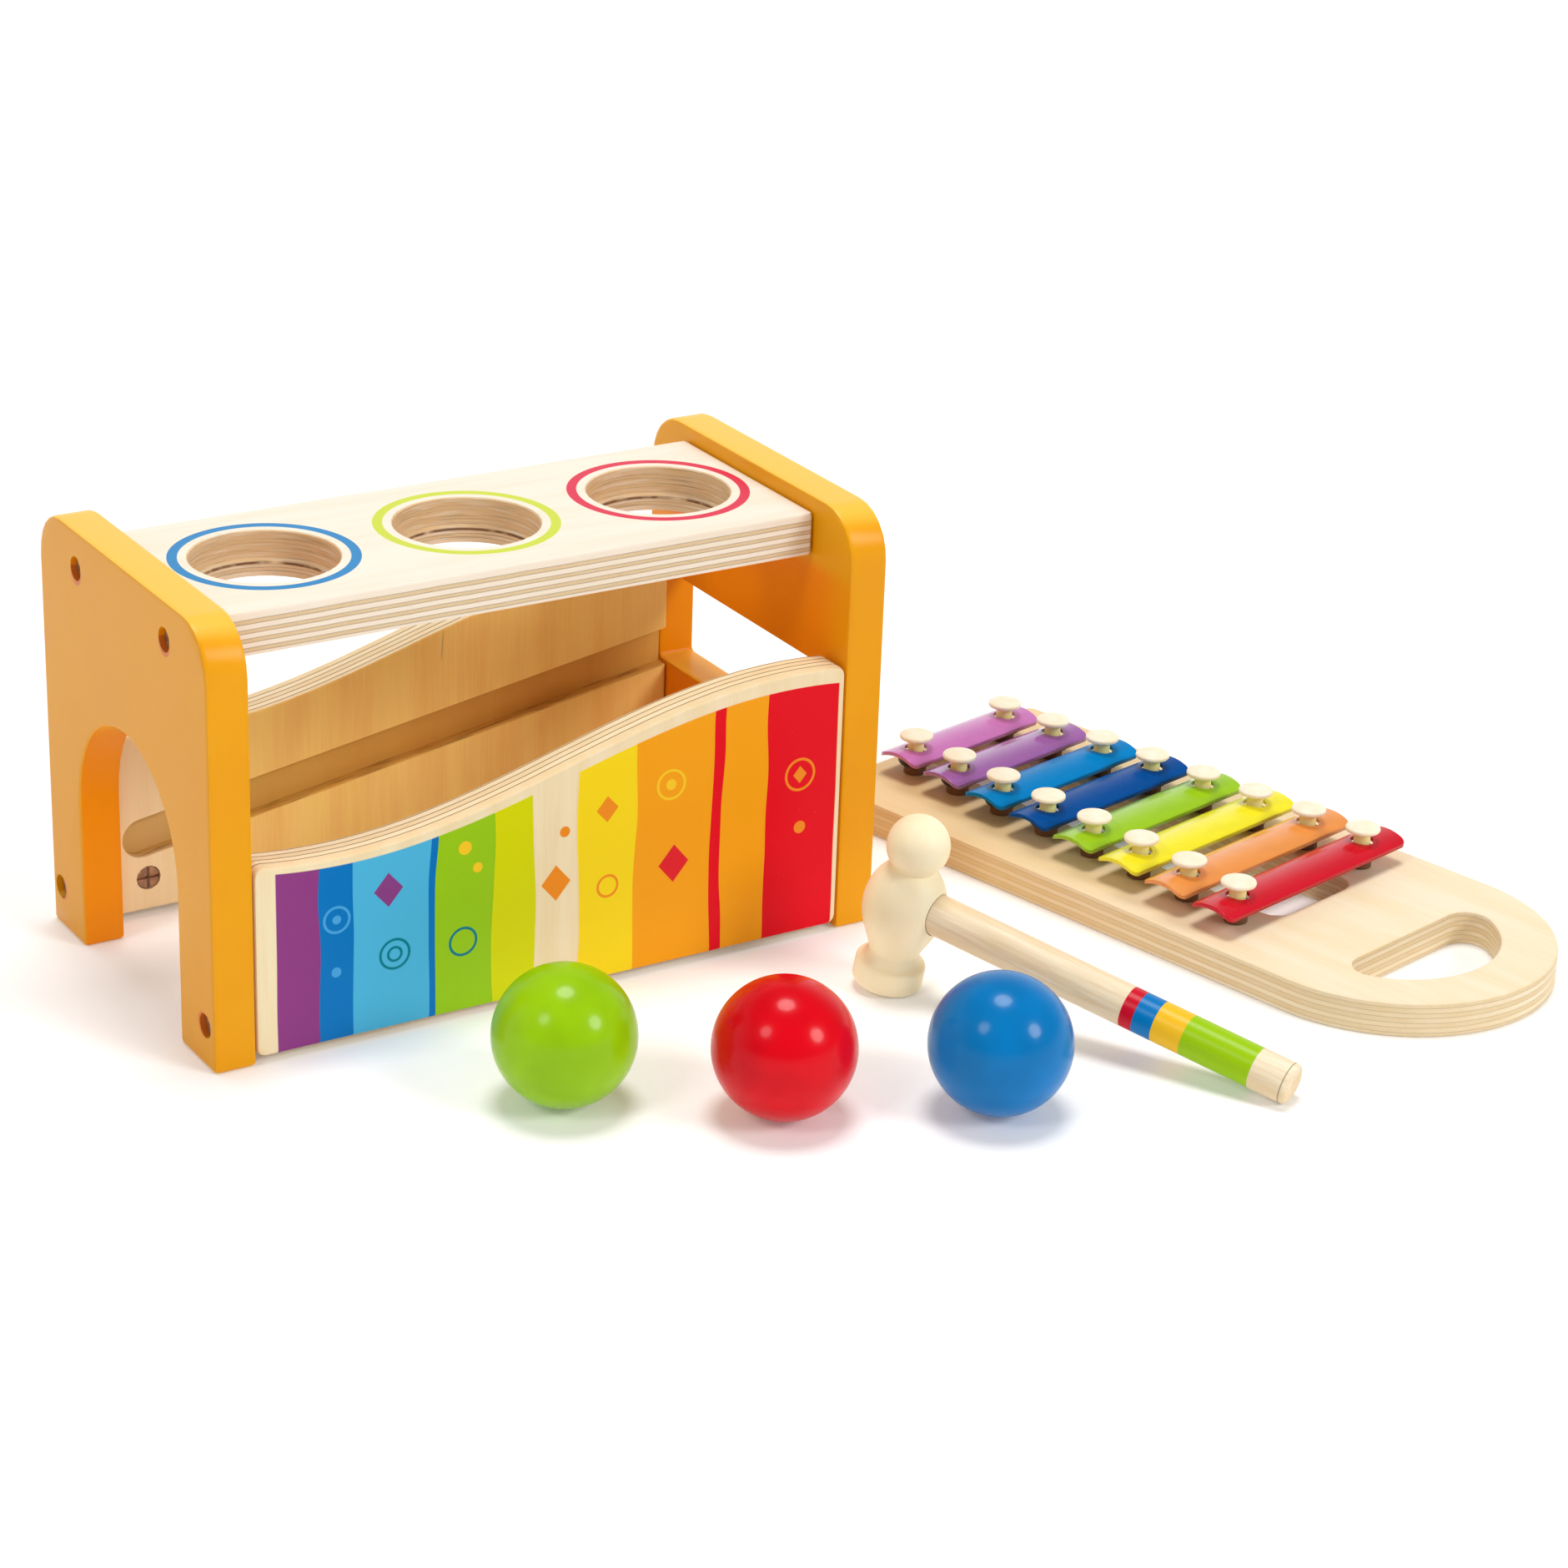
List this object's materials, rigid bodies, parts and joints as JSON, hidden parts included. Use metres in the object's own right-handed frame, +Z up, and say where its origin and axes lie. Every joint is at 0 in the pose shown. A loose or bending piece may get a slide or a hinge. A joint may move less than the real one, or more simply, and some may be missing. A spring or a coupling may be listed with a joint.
{
  "type": "xylophone pounding bench",
  "caption": "Wooden pounding bench with ball holes, a plywood xylophone that slides into its side, a turned hammer and painted balls.",
  "frame": {"origin": "middle of the set's footprint on the floor", "axes": "+X from the bench's arched end towards its window end and the xylophone, +Y from the balls back to the bench, +Z up"},
  "size_m": [0.4312, 0.3036, 0.146],
  "materials": {
    "orange_paint": "satin paint",
    "plywood": "satin clear lacquer",
    "printed_plywood": "satin clear lacquer over printed stripes",
    "turned_wood": "satin clear lacquer",
    "handle_wood": "satin clear lacquer with glossy painted bands",
    "black_rubber": "matte",
    "zinc_steel": "zinc plated",
    "pink_enamel": "gloss",
    "purple_enamel": "gloss",
    "blue_enamel": "gloss",
    "dark_blue_enamel": "gloss",
    "green_enamel": "gloss",
    "yellow_enamel": "gloss",
    "orange_enamel": "gloss",
    "red_enamel": "gloss",
    "green_lacquer": "gloss",
    "red_lacquer": "gloss",
    "blue_lacquer": "gloss"
  },
  "bodies": {
    "bench": {"left_end_panel": "orange_paint", "right_end_panel": "orange_paint", "top_board": "plywood", "front_panel": "printed_plywood", "back_panel": "plywood", "bolt_left_front_low": "zinc_steel", "bolt_left_front_high": "zinc_steel", "bolt_left_back_low": "zinc_steel", "bolt_left_back_high": "zinc_steel", "bolt_right_front_low": "zinc_steel", "bolt_right_front_high": "zinc_steel", "bolt_right_back_low": "zinc_steel", "bolt_right_back_high": "zinc_steel"},
    "xylophone": {"xylophone_board": "plywood", "peg_1_near": "turned_wood", "peg_1_far": "turned_wood", "peg_2_near": "turned_wood", "peg_2_far": "turned_wood", "peg_3_near": "turned_wood", "peg_3_far": "turned_wood", "peg_4_near": "turned_wood", "peg_4_far": "turned_wood", "peg_5_near": "turned_wood", "peg_5_far": "turned_wood", "peg_6_near": "turned_wood", "peg_6_far": "turned_wood", "peg_7_near": "turned_wood", "peg_7_far": "turned_wood", "peg_8_near": "turned_wood", "peg_8_far": "turned_wood", "grommet_1_near": "black_rubber", "grommet_1_far": "black_rubber", "grommet_2_near": "black_rubber", "grommet_2_far": "black_rubber", "grommet_3_near": "black_rubber", "grommet_3_far": "black_rubber", "grommet_4_near": "black_rubber", "grommet_4_far": "black_rubber", "grommet_5_near": "black_rubber", "grommet_5_far": "black_rubber", "grommet_6_near": "black_rubber", "grommet_6_far": "black_rubber", "grommet_7_near": "black_rubber", "grommet_7_far": "black_rubber", "grommet_8_near": "black_rubber", "grommet_8_far": "black_rubber"},
    "bar_1_pink": {"bar_1_pink": "pink_enamel"},
    "bar_2_purple": {"bar_2_purple": "purple_enamel"},
    "bar_3_light_blue": {"bar_3_light_blue": "blue_enamel"},
    "bar_4_dark_blue": {"bar_4_dark_blue": "dark_blue_enamel"},
    "bar_5_green": {"bar_5_green": "green_enamel"},
    "bar_6_yellow": {"bar_6_yellow": "yellow_enamel"},
    "bar_7_orange": {"bar_7_orange": "orange_enamel"},
    "bar_8_red": {"bar_8_red": "red_enamel"},
    "hammer": {"hammer_head": "turned_wood", "hammer_handle": "handle_wood"},
    "ball_green": {"ball_green": "green_lacquer"},
    "ball_red": {"ball_red": "red_lacquer"},
    "ball_blue": {"ball_blue": "blue_lacquer"}
  },
  "joints": [
    {"name": "xylophone_lift", "type": "slide", "parent": "bench", "child": "xylophone", "axis": [0, 0, 1], "range_m": [0, 0.15]},
    {"name": "bar_1_pink_play", "type": "slide", "parent": "xylophone", "child": "bar_1_pink", "axis": [0, 0, 1], "range_m": [0, 0.003]},
    {"name": "bar_2_purple_play", "type": "slide", "parent": "xylophone", "child": "bar_2_purple", "axis": [0, 0, 1], "range_m": [0, 0.003]},
    {"name": "bar_3_light_blue_play", "type": "slide", "parent": "xylophone", "child": "bar_3_light_blue", "axis": [0, 0, 1], "range_m": [0, 0.003]},
    {"name": "bar_4_dark_blue_play", "type": "slide", "parent": "xylophone", "child": "bar_4_dark_blue", "axis": [0, 0, 1], "range_m": [0, 0.003]},
    {"name": "bar_5_green_play", "type": "slide", "parent": "xylophone", "child": "bar_5_green", "axis": [0, 0, 1], "range_m": [0, 0.003]},
    {"name": "bar_6_yellow_play", "type": "slide", "parent": "xylophone", "child": "bar_6_yellow", "axis": [0, 0, 1], "range_m": [0, 0.003]},
    {"name": "bar_7_orange_play", "type": "slide", "parent": "xylophone", "child": "bar_7_orange", "axis": [0, 0, 1], "range_m": [0, 0.003]},
    {"name": "bar_8_red_play", "type": "slide", "parent": "xylophone", "child": "bar_8_red", "axis": [0, 0, 1], "range_m": [0, 0.003]},
    {"name": "hammer_lift", "type": "slide", "parent": "bench", "child": "hammer", "axis": [0, 0, 1], "range_m": [0, 0.15]},
    {"name": "ball_green_lift", "type": "slide", "parent": "bench", "child": "ball_green", "axis": [0, 0, 1], "range_m": [0, 0.15]},
    {"name": "ball_red_lift", "type": "slide", "parent": "bench", "child": "ball_red", "axis": [0, 0, 1], "range_m": [0, 0.15]},
    {"name": "ball_blue_lift", "type": "slide", "parent": "bench", "child": "ball_blue", "axis": [0, 0, 1], "range_m": [0, 0.15]}
  ]
}
